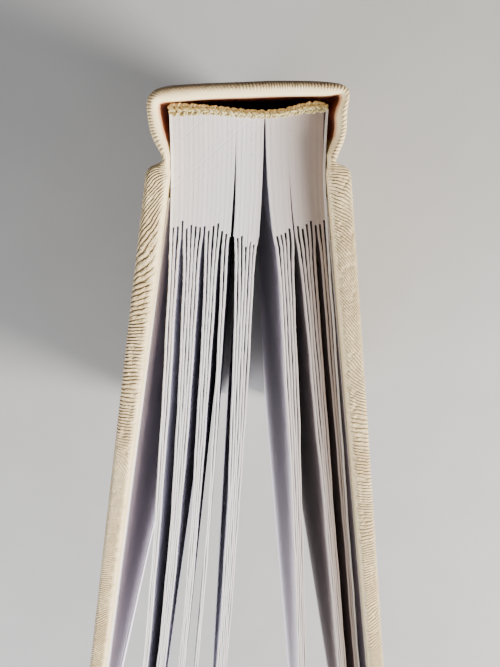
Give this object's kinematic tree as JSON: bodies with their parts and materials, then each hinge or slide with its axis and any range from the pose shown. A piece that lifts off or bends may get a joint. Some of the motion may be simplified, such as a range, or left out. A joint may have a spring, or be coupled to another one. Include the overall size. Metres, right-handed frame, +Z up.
{
  "type": "photo album",
  "caption": "Case-bound photo album standing on its tail, with card leaves fanned on stubs, a hollow back, French joints, braided headbands and two covers that open on hinges.",
  "frame": {"origin": "middle of the album's box on the surface that it stands on", "axes": "+Z up along the spine from tail to head, +Y towards the spine, -Y towards the fore-edge, -X towards the front cover, +X towards the back cover"},
  "size_m": [0.1028, 0.2198, 0.28],
  "materials": {
    "leatherette": "cream embossed leatherette with fine wavy ribs, satin",
    "card": "smooth white album card, matt",
    "endpaper": "smooth white paper, matt",
    "greyboard": "grey bookbinder's board, matt",
    "lining": "dark red-brown paper, matt",
    "braid": "cream and gold braided thread with a sheen"
  },
  "bodies": {
    "block": {"page_block": "card", "front_flyleaf": "endpaper", "back_flyleaf": "endpaper", "back_lining": "lining", "head_band": "braid", "tail_band": "braid", "spine_stiffener": "greyboard", "spine_cloth": "leatherette"},
    "front_cover": {"front_board": "greyboard", "front_cloth": "leatherette", "front_pastedown": "endpaper"},
    "back_cover": {"back_board": "greyboard", "back_cloth": "leatherette", "back_pastedown": "endpaper"}
  },
  "joints": [
    {"name": "front_cover_hinge", "type": "hinge", "parent": "block", "child": "front_cover", "pos_m": [-0.00819, 0.09877, 0.14], "axis": [0, 0, -1], "range_deg": [-2, 78.9]},
    {"name": "back_cover_hinge", "type": "hinge", "parent": "block", "child": "back_cover", "pos_m": [0.01828, 0.09877, 0.14], "axis": [0, 0, 1], "range_deg": [0, 81.7]}
  ]
}
